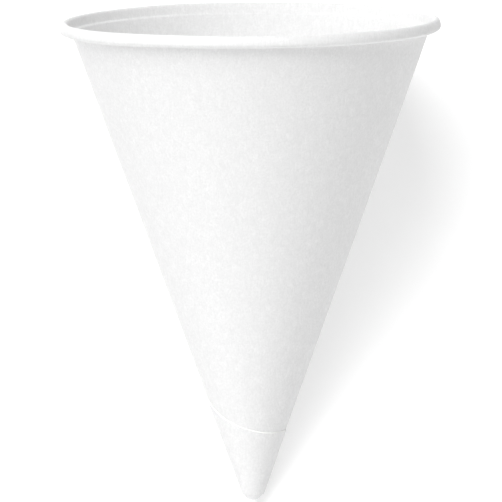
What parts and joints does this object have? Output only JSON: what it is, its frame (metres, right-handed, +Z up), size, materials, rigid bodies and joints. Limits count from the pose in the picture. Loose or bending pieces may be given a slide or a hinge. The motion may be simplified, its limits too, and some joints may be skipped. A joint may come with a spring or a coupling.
{
  "type": "cone paper cup",
  "caption": "White paper cone cup wound from a flat sheet, lapped at the back, with a closed tip and a rolled rim.",
  "frame": {"origin": "centre of the bounding box at its lowest level, which is the table that the cup lies on", "axes": "+Z up from the table, +Y level and along the cup from the tip towards the mouth, +X to the right for someone looking down into the mouth with the tip nearest them; the cup's own axis leans up by 21.0 degrees from +Y towards +Z"},
  "size_m": [0.075, 0.1022, 0.0702],
  "materials": {
    "white_paper": "uncoated white paper, matt, with a faint mottled grain"
  },
  "bodies": {
    "root": {"cone_cup": "white_paper"}
  },
  "joints": []
}
